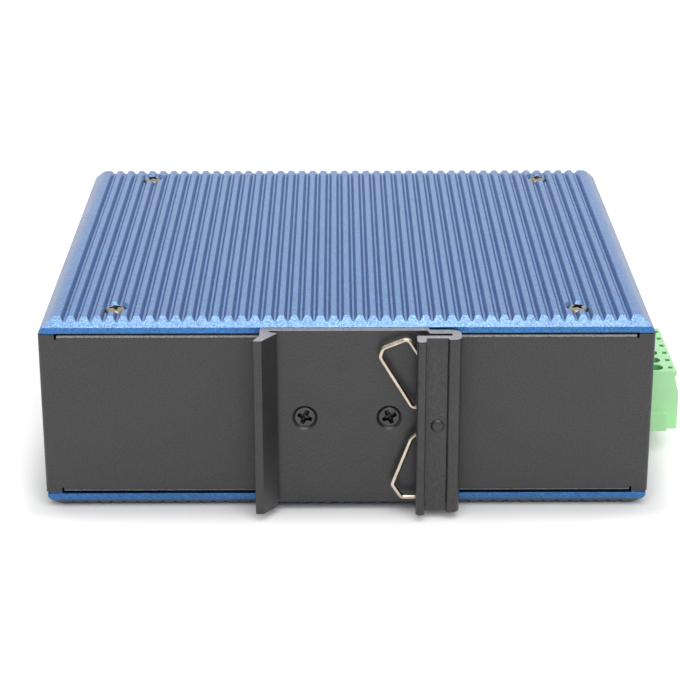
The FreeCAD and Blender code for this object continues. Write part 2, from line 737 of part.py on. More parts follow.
def magnetics_modules():
    modules = []
    for column in range(jack_columns):
        x = jack_x + (column - (jack_columns - 1) / 2) * jack_pitch
        modules.append(prism(rectangle(x - 6.0, x + 6.0, 84, 97, 0.6), "XY", board_top + 0.2, board_top + 6.0))
        for leg in range(6):
            y = 85.5 + leg * 2.0
            modules.append(block(x - 6.7, x - 6.0, y - 0.3, y + 0.3, board_top, board_top + 0.5))
            modules.append(block(x + 6.0, x + 6.7, y - 0.3, y + 0.3, board_top, board_top + 0.5))
    return Part.Compound(modules)


def small_chips():
    places = [(-50, 40, 5, 4), (-50, 52, 5, 4), (-34, 34, 7, 7), (-8, 40, 4, 5), (-52, 66, 6, 6), (12, 48, 5, 4)]
    return Part.Compound([block(x - a / 2, x + a / 2, y - b / 2, y + b / 2, board_top, board_top + 1.4)
                          for x, y, a, b in places])


def clock_crystal():
    return prism(rectangle(-40, -29, 49, 53.6, 2.2), "XY", board_top, board_top + 3.5)


def input_fuse():
    ends = [rod(2.6, (49, 80, board_top + 2.6), (52, 80, board_top + 2.6)),
            rod(2.6, (64, 80, board_top + 2.6), (67, 80, board_top + 2.6))]
    return fuse_all(ends + [rod(2.3, (50, 80, board_top + 2.6), (66, 80, board_top + 2.6))])


def nodes():
    made = {
        "heatsink_cover_upper": heatsink_cover(),
        "heatsink_cover_lower": lower_cover(),
        "chassis_wrap": chassis_wrap(),
        "front_panel": front_panel(),
        "cover_screws_upper": cover_screws(1),
        "cover_screws_lower": cover_screws(-1),
        "front_panel_screws": front_panel_screws(),
        "din_clip": din_clip(),
        "din_clip_screws": din_clip_screws(),
        "din_clip_spring": din_clip_spring(),
        "spring_pin": spring_pin(),
        "rear_wall_nuts": rear_wall_nuts(),
        "ground_screw": ground_screw(),
        "ground_washer": ground_washer(),
        "ground_nut": ground_nut(),
        "main_pcb": main_pcb(),
        "pcb_standoffs": pcb_standoffs(),
        "pcb_screws": pcb_screws(),
        "rj45_housing": rj45_housing(),
        "rj45_shield": rj45_shield(),
        "rj45_contacts": rj45_contacts(),
        "rj45_light_pipes": rj45_light_pipes(),
        "status_light_pipes": status_light_pipes(),
        "status_leds": status_leds(),
        "terminal_header": terminal_header(),
        "header_pins": header_pins(),
        "plug_housing": plug_housing(),
        "plug_contacts": plug_contacts(),
        "switch_chip": switch_chip(),
        "thermal_pad": thermal_pad(),
        "heat_spreader_block": heat_spreader_block(),
        "power_inductors": power_inductors(),
        "electrolytic_capacitors": electrolytic_capacitors(),
        "isolation_transformer": isolation_transformer(),
        "magnetics_modules": magnetics_modules(),
        "small_chips": small_chips(),
        "clock_crystal": clock_crystal(),
        "input_fuse": input_fuse(),
    }
    for number, x in enumerate(cage_xs, 1):
        made[f"sfp_cage_{number}"] = sfp_cage(x)
        made[f"sfp_connector_{number}"] = sfp_connector(x)
    for number, y in enumerate(pole_ys, 1):
        made[f"clamp_screw_{number}"] = clamp_screw(y)
        made[f"clamp_cage_{number}"] = clamp_cage(y)
    return made


os.makedirs("parts", exist_ok=True)
for name, shape in nodes().items():
    solids = shape.Solids
    print(f"{name}: {len(solids)} solid(s), {sum(s.Volume for s in solids):.1f} mm3, valid {shape.isValid()}")
    shape.exportStep(f"parts/{name}.step")
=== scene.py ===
import bpy
import bmesh
import json
import math
from mathutils import Matrix, Vector


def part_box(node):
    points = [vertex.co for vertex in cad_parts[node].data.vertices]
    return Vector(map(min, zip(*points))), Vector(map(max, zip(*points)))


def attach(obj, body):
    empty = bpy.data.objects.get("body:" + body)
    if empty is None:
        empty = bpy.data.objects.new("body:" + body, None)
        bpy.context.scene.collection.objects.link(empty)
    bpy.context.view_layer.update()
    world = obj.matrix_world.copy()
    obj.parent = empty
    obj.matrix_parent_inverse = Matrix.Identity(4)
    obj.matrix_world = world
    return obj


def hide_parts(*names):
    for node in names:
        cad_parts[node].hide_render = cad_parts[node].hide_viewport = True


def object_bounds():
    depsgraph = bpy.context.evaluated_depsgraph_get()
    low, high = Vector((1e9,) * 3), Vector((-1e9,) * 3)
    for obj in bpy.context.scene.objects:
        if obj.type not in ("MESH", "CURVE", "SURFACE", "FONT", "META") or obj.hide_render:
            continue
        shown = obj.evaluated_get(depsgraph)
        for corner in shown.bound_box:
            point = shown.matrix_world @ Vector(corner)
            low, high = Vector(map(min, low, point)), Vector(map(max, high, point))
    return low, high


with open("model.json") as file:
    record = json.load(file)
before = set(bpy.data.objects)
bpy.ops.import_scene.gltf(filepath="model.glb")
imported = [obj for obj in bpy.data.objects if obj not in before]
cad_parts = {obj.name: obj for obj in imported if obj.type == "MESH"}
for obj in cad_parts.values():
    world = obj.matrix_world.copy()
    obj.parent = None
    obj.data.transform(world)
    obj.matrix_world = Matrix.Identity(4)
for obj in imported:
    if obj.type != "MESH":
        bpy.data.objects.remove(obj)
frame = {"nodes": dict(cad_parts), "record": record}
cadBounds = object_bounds()
mm = 0.001
print("stage: frame loaded,", len(frame["nodes"]), "nodes")

colourResult = 2  # place of the colour among a mix node's outputs
cloudDetail, grainDetail = 3.0, 1.0
noiseSpan = (0.3, 0.7)  # nearly all of a noise's values lie in here
paintedShadeDownSpan = (0.4, 0.65)  # from a slanting face to one that looks straight down, for the painted shade on downward faces
paintedHollowShadeSpan = (1.0, 0.92)  # painted shade in hollows, from the hollow's wall to just inside it
rubbedSpan = (0.995, 0.90)  # cosine of the turn from a face to its rounded edge
edgeSamples = 4


def srgb(hexText):  # "#rrggbb" to linear RGBA
    parts = [int(hexText[i:i + 2], 16) / 255 for i in (1, 3, 5)]
    return tuple(p / 12.92 if p <= 0.04045 else ((p + 0.055) / 1.055) ** 2.4 for p in parts) + (1.0,)


def addNode(tree, kind, settings=None, links=None):  # a node, its values set and its inputs linked
    node = tree.nodes.new(kind)
    sockets = {}
    for socket in node.inputs:
        sockets.setdefault(socket.name, socket)
        sockets[socket.identifier] = socket
    for key, value in (settings or {}).items():
        if key in sockets:
            sockets[key].default_value = value
        else:
            setattr(node, key, value)
    for key, source in (links or {}).items():
        tree.links.new(source, sockets[key])
    return node


def newMaterial(name):
    material = bpy.data.materials.new(name)
    material.use_nodes = True
    material.node_tree.nodes.clear()
    return material, material.node_tree


def vectorStep(tree, operation, vector, other=None):  # one sum on a vector, its second term fixed
    settings = {"operation": operation}
    if other is not None:
        settings["Vector_001"] = other
    node = addNode(tree, "ShaderNodeVectorMath", settings, {"Vector": vector})
    return node.outputs["Value" if operation in ("DOT_PRODUCT", "LENGTH") else "Vector"]


def scaled(tree, vector, scale):
    node = addNode(tree, "ShaderNodeVectorMath", {"operation": "SCALE"},
                   {"Vector": vector, "Scale": scale})
    return node.outputs["Vector"]


def greater(tree, first, second):
    node = addNode(tree, "ShaderNodeMath", {"operation": "MAXIMUM"},
                   {"Value": first, "Value_001": second})
    return node.outputs["Value"]


def ranged(tree, value, span, target=(0, 1), curve="LINEAR"):  # a value moved from one span to another
    settings = {"From Min": span[0], "From Max": span[1], "To Min": target[0], "To Max": target[1],
                "interpolation_type": curve}
    return addNode(tree, "ShaderNodeMapRange", settings, {"Value": value}).outputs["Result"]


def tinted(tree, colour, tint, share):  # a colour drawn towards a fixed tint
    node = addNode(tree, "ShaderNodeMix", {"data_type": "RGBA", "B_Color": srgb(tint)},
                   {"A_Color": colour, "Factor_Float": share})
    return node.outputs[colourResult]


def tintShares(tree, look, place):  # per tint: the value it follows, its span, the tint, its amount
    size = vectorStep(tree, "ABSOLUTE", place.outputs["Normal"])
    shares = []
    for weights, low, high, tint, amount in look.get("faces", []):  # both ways along each axis; cut ends, and also painted highlight and shade
        shares.append((vectorStep(tree, "DOT_PRODUCT", size, weights), (low, high), tint, amount))
    if "under" in look:  # faces that look down get painted shade, for the shadowed floor below them
        down = vectorStep(tree, "DOT_PRODUCT", place.outputs["Normal"], (0, 0, -1))
        shares.append((down, paintedShadeDownSpan) + look["under"])
    if "hollow" in look:  # painted shade on hole walls, inside a box measured in from the node's own corners
        node, lowIn, highIn, tint, amount = look["hollow"]
        low, high = [corner + Vector(inset) * mm
                     for corner, inset in zip(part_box(node), (lowIn, highIn))]
        offset = vectorStep(tree, "SUBTRACT", place.outputs["Object"], (low + high) / 2)
        outward = vectorStep(tree, "DIVIDE", vectorStep(tree, "ABSOLUTE", offset), (high - low) / 2)
        axes = addNode(tree, "ShaderNodeSeparateXYZ", None, {"Vector": outward})
        flat = greater(tree, axes.outputs["X"], axes.outputs["Y"])
        shares.append((greater(tree, flat, axes.outputs["Z"]), paintedHollowShadeSpan, tint, amount))
    return shares


def makeSurface(look):  # cloud of two tones, tinted faces with painted highlight and shade among them, worn edges, fine flecks and grain
    material, tree = newMaterial(look["name"])
    place = addNode(tree, "ShaderNodeTexCoord")
    stretch = addNode(tree, "ShaderNodeMapping", {"Scale": look.get("stretch", (1, 1, 1))},
                      {"Vector": place.outputs["Object"]})
    cloud = addNode(tree, "ShaderNodeTexNoise",
                    {"Scale": 1 / (look["cloudMm"] * mm), "Detail": cloudDetail},
                    {"Vector": place.outputs["Object"]})
    grain = addNode(tree, "ShaderNodeTexNoise",
                    {"Scale": 1 / (look["grainMm"] * mm), "Detail": grainDetail},
                    {"Vector": stretch.outputs["Vector"]})
    tones = addNode(tree, "ShaderNodeMix",
                    {"data_type": "RGBA", "A_Color": srgb(look["deep"]), "B_Color": srgb(look["pale"])},
                    {"Factor_Float": ranged(tree, cloud.outputs["Fac"], noiseSpan)})
    colour = tones.outputs[colourResult]
    for value, span, tint, amount in tintShares(tree, look, place):
        colour = tinted(tree, colour, tint, ranged(tree, value, span, (0, amount)))
    rounded = addNode(tree, "ShaderNodeBevel", {"samples": edgeSamples, "Radius": look["edgeMm"] * mm})
    if "worn" in look:  # paler where an edge is rubbed
        face = addNode(tree, "ShaderNodeNewGeometry")
        turned = addNode(tree, "ShaderNodeVectorMath", {"operation": "DOT_PRODUCT"},
                         {"Vector": rounded.outputs["Normal"], "Vector_001": face.outputs["Normal"]})
        rubbed = ranged(tree, turned.outputs["Value"], rubbedSpan, (0, look["wear"]))
        colour = tinted(tree, colour, look["worn"], rubbed)
    fleck = look["fleck"]
    colour = scaled(tree, colour, ranged(tree, grain.outputs["Fac"], noiseSpan, (1 - fleck, 1 + fleck)))
    if "glint" in look:  # blasted grains, each with a brightness of its own
        grainSize, spread = look["glint"]
        grains = addNode(tree, "ShaderNodeTexVoronoi", {"Scale": 1 / (grainSize * mm)},
                         {"Vector": place.outputs["Object"]})
        pick = addNode(tree, "ShaderNodeSeparateColor", None, {"Color": grains.outputs["Color"]})
        glint = ranged(tree, pick.outputs["Red"], (0, 1), (1 - spread, 1 + spread))
        colour = scaled(tree, colour, glint)
    relief = addNode(tree, "ShaderNodeBump", {"Strength": 1.0, "Distance": look["reliefMm"] * mm},
                     {"Height": grain.outputs["Fac"], "Normal": rounded.outputs["Normal"]})
    gloss = ranged(tree, cloud.outputs["Fac"], noiseSpan, look["roughness"])
    shader = addNode(tree, "ShaderNodeBsdfPrincipled", look["sockets"],
                     {"Base Color": colour, "Roughness": gloss, "Normal": relief.outputs["Normal"]})
    addNode(tree, "ShaderNodeOutputMaterial", None, {"Surface": shader.outputs["BSDF"]})
    return material


surfaces = {
    # bead-blasted anodised aluminium: dyed metal under clear oxide, so it greys at grazing angles
    "blue_anodised": {
        "name": "beadBlastedBlueAnodise",
        "deep": "#3d75b6", "pale": "#4480c0", "worn": "#7fb2e4", "wear": 0.5,
        # tints by facing: paler on the 45° bevels, a painted highlight of the overhead light; darker on
        # the side chamfers and a deeper blue on the end bands, set only by which way each face looks
        "faces": [((0, 0.707, 0.707), 0.93, 0.99, "#7095c2", 0.85),
                  ((0.707, 0, 0.707), 0.93, 0.99, "#2d5c96", 0.6),
                  ((0, 1, 0), 0.95, 0.99, "#1666a8", 0.95)],
        # painted shade on faces that look down, such as the lower bevels
        "under": ("#1a2b42", 0.88),
        "cloudMm": 14.0, "grainMm": 0.155, "fleck": 0.4, "glint": (0.26, 0.46), "reliefMm": 0.02,
        "roughness": (0.38, 0.46), "edgeMm": 0.12,
        "sockets": {"Metallic": 0.9, "Coat Weight": 0.8, "Coat Roughness": 0.35, "Coat IOR": 1.6}},
    # powder coat on steel: matt black with a fine even pimple
    "black_powder_coat": {
        "name": "finePowderCoat",
        "deep": "#28282a", "pale": "#2e2e30", "worn": "#58575a", "wear": 0.35,
        # painted highlight: paler on the slanted bends along the wall's edges
        "faces": [((0, 0.78, 0.625), 0.93, 0.99, "#8f8c89", 0.75)],
        "cloudMm": 8.0, "grainMm": 0.22, "fleck": 0.95, "reliefMm": 0.05,
        "roughness": (0.40, 0.48), "edgeMm": 0.25,
        "sockets": {"IOR": 1.6}},
    # anodised extrusion: smoother than the paint, with faint lines along the length that it was drawn
    "black_anodised": {
        "name": "drawnBlackAnodise",
        "deep": "#2a2a2b", "pale": "#323233", "worn": "#6a686c", "wear": 0.5,
        "faces": [((0, 0, 1), 0.95, 0.99, "#97949a", 1.0)],
        "cloudMm": 9.0, "grainMm": 0.26, "stretch": (1, 1, 0.5), "fleck": 0.45, "reliefMm": 0.012,
        "roughness": (0.36, 0.46), "edgeMm": 0.15,
        "sockets": {"Metallic": 0.35, "Coat Weight": 0.5, "Coat Roughness": 0.34}},
    # nickel plated steel: warm and softly bright
    "nickel_plated_steel": {
        "name": "nickelPlate", "deep": "#8f8475", "pale": "#ada294", "worn": "#efe6dc", "wear": 0.4,
        "cloudMm": 2.0, "grainMm": 0.12, "fleck": 0.04, "reliefMm": 0.003,
        "roughness": (0.32, 0.44), "edgeMm": 0.1,
        "sockets": {"Metallic": 1.0}},
    # drawn spring wire: the brightest metal, with a sharp gleam along each leg
    "spring_steel": {
        "name": "drawnNickelWire", "deep": "#b9aa9a", "pale": "#dccfc1",
        "cloudMm": 3.0, "grainMm": 0.15, "fleck": 0.05, "reliefMm": 0.002,
        "roughness": (0.16, 0.26), "edgeMm": 0.05,
        "sockets": {"Metallic": 1.0}},
    # black oxide on steel screws: dark satin grey, rubbed lighter on edges
    "black_oxide_steel": {
        "name": "blackOxide", "deep": "#38383b", "pale": "#4a4a4d", "worn": "#77757a", "wear": 0.6,
        "cloudMm": 1.5, "grainMm": 0.15, "fleck": 0.07, "reliefMm": 0.006,
        "roughness": (0.32, 0.44), "edgeMm": 0.08,
        "sockets": {"Metallic": 0.6, "Coat Weight": 0.3, "Coat Roughness": 0.3}},
    # zinc plated steel: cool grey, slightly cloudy
    "zinc_plated_steel": {
        "name": "zincPlate", "deep": "#8f9296", "pale": "#b4b7ba", "worn": "#d5d7d8", "wear": 0.4,
        "cloudMm": 1.5, "grainMm": 0.15, "fleck": 0.06, "reliefMm": 0.004,
        "roughness": (0.28, 0.42), "edgeMm": 0.08,
        "sockets": {"Metallic": 1.0}},
    # glass epoxy board under green solder mask
    "circuit_board": {
        "name": "solderMask", "deep": "#0d4a26", "pale": "#13602f",
        "cloudMm": 3.0, "grainMm": 0.4, "fleck": 0.07, "reliefMm": 0.01,
        "roughness": (0.25, 0.35), "edgeMm": 0.1,
        "sockets": {"IOR": 1.55}},
    # moulded nylon: dull black with a mould grain
    "black_nylon": {
        "name": "mouldedNylon",
        "deep": "#19191a", "pale": "#232324", "worn": "#3a3a3c", "wear": 0.4,
        "cloudMm": 5.0, "grainMm": 0.2, "fleck": 0.07, "reliefMm": 0.01,
        "roughness": (0.42, 0.55), "edgeMm": 0.12,
        "sockets": {"IOR": 1.53}},
    # tin plated sheet: bright soft white metal
    "tinned_steel": {
        "name": "tinPlate", "deep": "#b3b3b0", "pale": "#cfcfcb", "worn": "#e6e6e2", "wear": 0.4,
        "cloudMm": 4.0, "grainMm": 0.2, "fleck": 0.05, "reliefMm": 0.003,
        "roughness": (0.22, 0.36), "edgeMm": 0.1,
        "sockets": {"Metallic": 1.0}},
    # gold flash on bronze contact wire
    "gold_plated_bronze": {
        "name": "goldFlash", "deep": "#c79a3e", "pale": "#e2ba62",
        "cloudMm": 1.0, "grainMm": 0.1, "fleck": 0.05, "reliefMm": 0.002,
        "roughness": (0.18, 0.28), "edgeMm": 0.05,
        "sockets": {"Metallic": 1.0}},
    # clear polycarbonate light pipe, frosted by its mould
    "clear_polycarbonate": {
        "name": "frostedPolycarbonate", "deep": "#dfe4e6", "pale": "#f3f6f7",
        "cloudMm": 3.0, "grainMm": 0.2, "fleck": 0.04, "reliefMm": 0.004,
        "roughness": (0.18, 0.30), "edgeMm": 0.1,
        "sockets": {"Transmission Weight": 0.6, "IOR": 1.58}},
    # white moulded package of a light emitting diode
    "white_led": {
        "name": "whitePackage", "deep": "#dcdcd2", "pale": "#ecece4",
        "cloudMm": 1.0, "grainMm": 0.1, "fleck": 0.04, "reliefMm": 0.003,
        "roughness": (0.35, 0.45), "edgeMm": 0.05,
        "sockets": {"IOR": 1.5}},
    # moulded polyamide: translucent satin green
    "green_polyamide": {
        "name": "mouldedGreenPolyamide",
        "deep": "#b4f3b2", "pale": "#bcf6b9", "worn": "#d9fcd3", "wear": 0.6,
        # painted shade: a darker, deeper green on the walls of the plug's holes
        "hollow": ("plug_housing", (10.4, 1.7, 10.0), (-0.6, -1.7, -0.02), "#52c274", 0.85),
        "cloudMm": 6.0, "grainMm": 0.25, "fleck": 0.06, "reliefMm": 0.012,
        "roughness": (0.36, 0.48), "edgeMm": 0.18,
        "sockets": {"IOR": 1.53, "Subsurface Weight": 0.15, "Subsurface Radius": (0.4, 1.0, 0.4),
                    "Subsurface Scale": mm}},
    # tin plated brass contact
    "tinned_brass": {
        "name": "tinnedBrass", "deep": "#bdb9ab", "pale": "#d6d2c4", "worn": "#ebe7da", "wear": 0.4,
        "cloudMm": 1.0, "grainMm": 0.1, "fleck": 0.05, "reliefMm": 0.002,
        "roughness": (0.22, 0.34), "edgeMm": 0.05,
        "sockets": {"Metallic": 1.0}},
    # black epoxy chip packages: flat and dull
    "black_epoxy": {
        "name": "mouldedEpoxy", "deep": "#18181a", "pale": "#222224",
        "cloudMm": 2.0, "grainMm": 0.12, "fleck": 0.07, "reliefMm": 0.006,
        "roughness": (0.5, 0.62), "edgeMm": 0.08,
        "sockets": {"IOR": 1.5}},
    # filled silicone pad: dull grey rubber
    "grey_silicone": {
        "name": "filledSilicone", "deep": "#72767c", "pale": "#858a90",
        "cloudMm": 2.0, "grainMm": 0.25, "fleck": 0.06, "reliefMm": 0.01,
        "roughness": (0.6, 0.75), "edgeMm": 0.1,
        "sockets": {"IOR": 1.41}},
    # milled aluminium block: pale with tool lines
    "bare_aluminium": {
        "name": "milledAluminium",
        "deep": "#b3b4b6", "pale": "#cfd0d2", "worn": "#e8e8ea", "wear": 0.4,
        "cloudMm": 4.0, "grainMm": 0.3, "stretch": (1, 0.03, 1), "fleck": 0.07, "reliefMm": 0.005,
        "roughness": (0.25, 0.38), "edgeMm": 0.15, "sockets": {"Metallic": 1.0}},
    # sintered ferrite: dark grey ceramic
    "grey_ferrite": {
        "name": "sinteredFerrite",
        "deep": "#303134", "pale": "#414246", "worn": "#5e5f64", "wear": 0.4,
        "cloudMm": 2.0, "grainMm": 0.2, "fleck": 0.07, "reliefMm": 0.01,
        "roughness": (0.45, 0.6), "edgeMm": 0.15,
        "sockets": {"IOR": 2.0}},
    # sleeved aluminium can
    "can_aluminium": {
        "name": "sleevedCan", "deep": "#3a3b46", "pale": "#4a4b58",
        "cloudMm": 3.0, "grainMm": 0.2, "fleck": 0.05, "reliefMm": 0.004,
        "roughness": (0.25, 0.35), "edgeMm": 0.15,
        "sockets": {"IOR": 1.5}},
    # glazed ceramic fuse tube
    "fuse_ceramic": {
        "name": "glazedCeramic", "deep": "#dcd8cc", "pale": "#ebe8de",
        "cloudMm": 2.0, "grainMm": 0.15, "fleck": 0.04, "reliefMm": 0.003,
        "roughness": (0.15, 0.25), "edgeMm": 0.1,
        "sockets": {"IOR": 1.6}},
}

materials = {slot: makeSurface(look) for slot, look in surfaces.items()}
for part in frame["record"]["subparts"]:
    target = frame["nodes"][part["node"]]
    target.data.materials.clear()
    target.data.materials.append(materials[part["material_slot"]])
print("stage: finishes given to every piece")


def addRing(shell, radii, height):  # points evenly round Z, in millimetres
    angles = [2 * math.pi * step / len(radii) for step in range(len(radii))]
    return [shell.verts.new((r * mm * math.cos(a), r * mm * math.sin(a), height * mm))
            for r, a in zip(radii, angles)]


def skin(shell, rings):  # faces from ring to ring, a ring of one point closing to a tip
    turns = max(len(ring) for ring in rings)
    for upper, lower in zip(rings, rings[1:]):
        for step in range(turns):
            after = (step + 1) % turns
            corners = [upper[step % len(upper)], lower[step % len(lower)],
                       lower[after % len(lower)], upper[after % len(upper)]]
            shell.faces.new(list(dict.fromkeys(corners)))


def cap(shell, rings):
    shell.faces.new(rings[0])
    shell.faces.new(rings[-1])


def spun(profile, turns):  # closed shell round Z through (radius, height) points, axis to axis
    shell = bmesh.new()
    rings = [addRing(shell, [radius] * (turns if radius else 1), height) for radius, height in profile]
    skin(shell, rings)
    return shell


def asMesh(name, shell):  # the shell as a mesh, every face looking out
    mesh = bpy.data.meshes.new(name)
    bmesh.ops.recalc_face_normals(shell, faces=shell.faces)
    shell.to_mesh(mesh)
    shell.free()
    return mesh


def addObject(name, data):
    made = bpy.data.objects.new(name, data)
    bpy.context.scene.collection.objects.link(made)
    return made


def smooth(mesh, crease):  # rounded, but for edges sharper than the crease in degrees
    mesh.shade_smooth()
    mesh.set_sharp_from_angle(angle=math.radians(crease))


cross = {
    "web": 0.36, "wing": 0.25,  # inner corner and half width, as shares of the reach
    "over": 0.3, "mouth": 1.04,  # height of the cutter above the head, and its flare there
    "levels": [(0, 1.0), (0.8, 0.62), (1, 0.15)],  # share of the depth, share of the width
    "rim": 0.09,  # band at the mouth left bright above the recess's painted shade, as a share of the reach
}


def crossCutter(top, reach, depth):  # four flared wings running down to a blunt tip
    web, wing = reach * cross["web"], reach * cross["wing"]
    outline = [(reach, -wing), (reach, wing), (web, web)]
    levels = [(top + cross["over"], cross["mouth"])]
    levels += [(top - depth * share, width) for share, width in cross["levels"]]
    shell = bmesh.new()
    rings = []
    for height, share in levels:
        ring = []
        for quarter in range(4):
            turn = Matrix.Rotation(quarter * math.pi / 2, 3, "Z")
            ring += [shell.verts.new(turn @ Vector((u * share * mm, v * share * mm, height * mm)))
                     for u, v in outline]
        rings.append(ring)
    skin(shell, rings)
    cap(shell, rings)
    return addObject("crossCutter", asMesh("crossCutter", shell))


thread = {"turns": 24, "rowsPerPitch": 6, "depth": 0.6, "bite": 0.8}  # depth as a share of the pitch


def threadShell(radius, start, length, pitch):  # shank with a helical ridge that fades at both ends
    turns, perPitch, depth = thread["turns"], thread["rowsPerPitch"], thread["depth"] * pitch
    rows = int(length / pitch * perPitch)
    shell = bmesh.new()
    rings = []
    for row in range(rows + 1):
        height = start - length * row / rows
        fade = min(1.0, row / perPitch, (rows - row) / perPitch)
        phases = [(height / pitch + step / turns) % 1.0 for step in range(turns)]
        rings.append(addRing(shell, [radius - depth * abs(2 * phase - 1) * fade * thread["bite"]
                                     for phase in phases], height))
    skin(shell, rings)
    cap(shell, rings)
    return shell


headTurns = 48


def screwMesh(kind):  # one screw, head up, its seat at the origin
    top = kind["profile"][0][1]
    head = addObject("head", asMesh("head", spun(kind["profile"], headTurns)))
    cutter = crossCutter(top, kind["reach"], kind["depth"])
    cut = head.modifiers.new("cross", "BOOLEAN")
    cut.operation = "DIFFERENCE"
    cut.solver = "EXACT"
    cut.object = cutter
    ready = head.evaluated_get(bpy.context.evaluated_depsgraph_get())
    joined = bmesh.new()
    joined.from_mesh(bpy.data.meshes.new_from_object(ready))
    rim = top - cross["rim"] * kind["reach"]
    for face in joined.faces:  # the recess takes the second material, painted shade
        middle = face.calc_center_median() / mm
        within = middle.xy.length < kind["reach"] and rim - kind["depth"] < middle.z < rim
        face.material_index = int(within)
    shank = threadShell(kind["shank"], kind["start"], kind["length"], kind["pitch"])
    joined.from_mesh(asMesh("shank", shank))
    mesh = bpy.data.meshes.new("screw")
    joined.to_mesh(mesh)
    joined.free()
    for spare in (head, cutter):
        bpy.data.objects.remove(spare)
    return mesh


recessShadeLooks = {
    # painted shade: nickel plate drawn dark at the bottom of a driver recess, where little light comes
    # back out
    "nickel_plated_steel": {
        "name": "nickelRecessPaintedShade", "deep": "#231e1a", "pale": "#3b342d",
        "cloudMm": 0.8, "grainMm": 0.1, "fleck": 0.3,
        "reliefMm": 0.004, "roughness": (0.3, 0.42), "edgeMm": 0.04, "sockets": {"Metallic": 0.7}},
    # painted shade: black oxide in a recess, darker than on the open head, with a small gleam on its
    # flanks
    "black_oxide_steel": {
        "name": "oxideRecessPaintedShade", "deep": "#0b0b0c", "pale": "#141415",
        "cloudMm": 0.8, "grainMm": 0.1, "fleck": 0.3,
        "reliefMm": 0.004, "roughness": (0.22, 0.32), "edgeMm": 0.04, "sockets": {"Metallic": 0.2}},
}
recessShadeMaterials = {slot: makeSurface(look) for slot, look in recessShadeLooks.items()}


# Half section of a pan head, as shares of its radius and height, and of a flat head in millimetres
panHead = [(0, 1.0), (0.30, 0.995), (0.55, 0.955), (0.78, 0.86), (0.92, 0.66), (0.985, 0.40),
           (1.0, 0.14), (0.99, 0.0)]
flatHead = [(0, 0), (2.3, 0), (2.4, -0.07), (2.42, -0.2), (1.47, -1.33), (0, -1.33)]


def panProfile(radius, height):
    return [(r * radius, h * height) for r, h in panHead] + [(0, 0)]


# Millimetres; nodeRadius and nodeHeight are the head of the node that the screws stand in for
screwKinds = {
    "cover": {"profile": panProfile(2.5, 1.95), "reach": 1.55, "depth": 1.7, "shank": 1.46,
              "start": 0.1, "length": 6.0, "pitch": 0.5, "nodeRadius": 2.45, "nodeHeight": 1.4},
    "panel": {"profile": panProfile(2.75, 1.7), "reach": 1.6, "depth": 1.5, "shank": 1.46,
              "start": 0.1, "length": 5.0, "pitch": 0.5, "nodeRadius": 2.75, "nodeHeight": 1.7},
    "clip": {"profile": flatHead, "reach": 1.8, "depth": 1.25, "shank": 1.46,
             "start": -1.28, "length": 6.6, "pitch": 0.5, "nodeRadius": 2.6},
    "earth": {"profile": panProfile(3.6, 2.4), "reach": 2.1, "depth": 2.1, "shank": 1.96,
              "start": 0.1, "length": 7.0, "pitch": 0.7, "nodeHeight": 2.4},
}


def placeScrews(look):  # one object for every screw of the node it replaces
    template = screwMesh(screwKinds[look["kind"]])
    whole = bmesh.new()
    for place, facing, spin in look["heads"]:
        turn = Vector((0, 0, 1)).rotation_difference(Vector(facing)).to_matrix().to_4x4()
        about = Matrix.Rotation(math.radians(spin), 4, "Z")
        copy = template.copy()
        copy.transform(Matrix.Translation(Vector(place)) @ turn @ about)
        whole.from_mesh(copy)
        bpy.data.meshes.remove(copy)
    mesh = bpy.data.meshes.new(look["name"])
    whole.to_mesh(mesh)
    whole.free()
    smooth(mesh, 32)
    mesh.materials.append(materials[look["slot"]])
    mesh.materials.append(recessShadeMaterials[look["slot"]])
    piece = addObject(look["name"], mesh)
    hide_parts(look["node"])
    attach(piece, "switch")


def coverHeads(node, side):  # four heads at the corners of the node's own box
    low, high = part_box(node)
    inset, rise = screwKinds["cover"]["nodeRadius"] * mm, screwKinds["cover"]["nodeHeight"] * mm
    seat = high.z - rise if side > 0 else low.z + rise
    spins = iter((12, 58, 31, 77))
    return [((x, y, seat), (0, 0, side), next(spins))
            for x in (low.x + inset, high.x - inset) for y in (low.y + inset, high.y - inset)]


def panelHeads(node):  # two on each end wall
    low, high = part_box(node)
    inset, rise = screwKinds["panel"]["nodeRadius"] * mm, screwKinds["panel"]["nodeHeight"] * mm
    y = (low.y + high.y) / 2
    spins = iter((20, 64, 41, 9))
    return [((x, y, z), (side, 0, 0), next(spins))
            for side, x in ((-1, low.x + rise), (1, high.x - rise))
            for z in (low.z + inset, high.z - inset)]


def clipHeads(node):  # the left cross leans to the right and the right cross to the left
    low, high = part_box(node)
    inset = screwKinds["clip"]["nodeRadius"] * mm
    return [((x, low.y, 0), (0, -1, 0), spin)
            for x, spin in ((low.x + inset, -22), (high.x - inset, 25))]


def earthHead(node):
    low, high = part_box(node)
    seat = high.x - screwKinds["earth"]["nodeHeight"] * mm
    return [((seat, (low.y + high.y) / 2, (low.z + high.z) / 2), (1, 0, 0), 35)]


pinShape = {
    "stand": 0.8,  # how far the head stands out past the node's own end, in millimetres
    "radii": [0, 0.5, 0.95, 1.3, 1.52, 1.6, 1.58, 1.3, 1.15, 1.15, 0],
    "depths": [0, 0.04, 0.14, 0.3, 0.46, 0.57, 0.61, 0.615, 0.8],  # below the crown; the foot follows
}


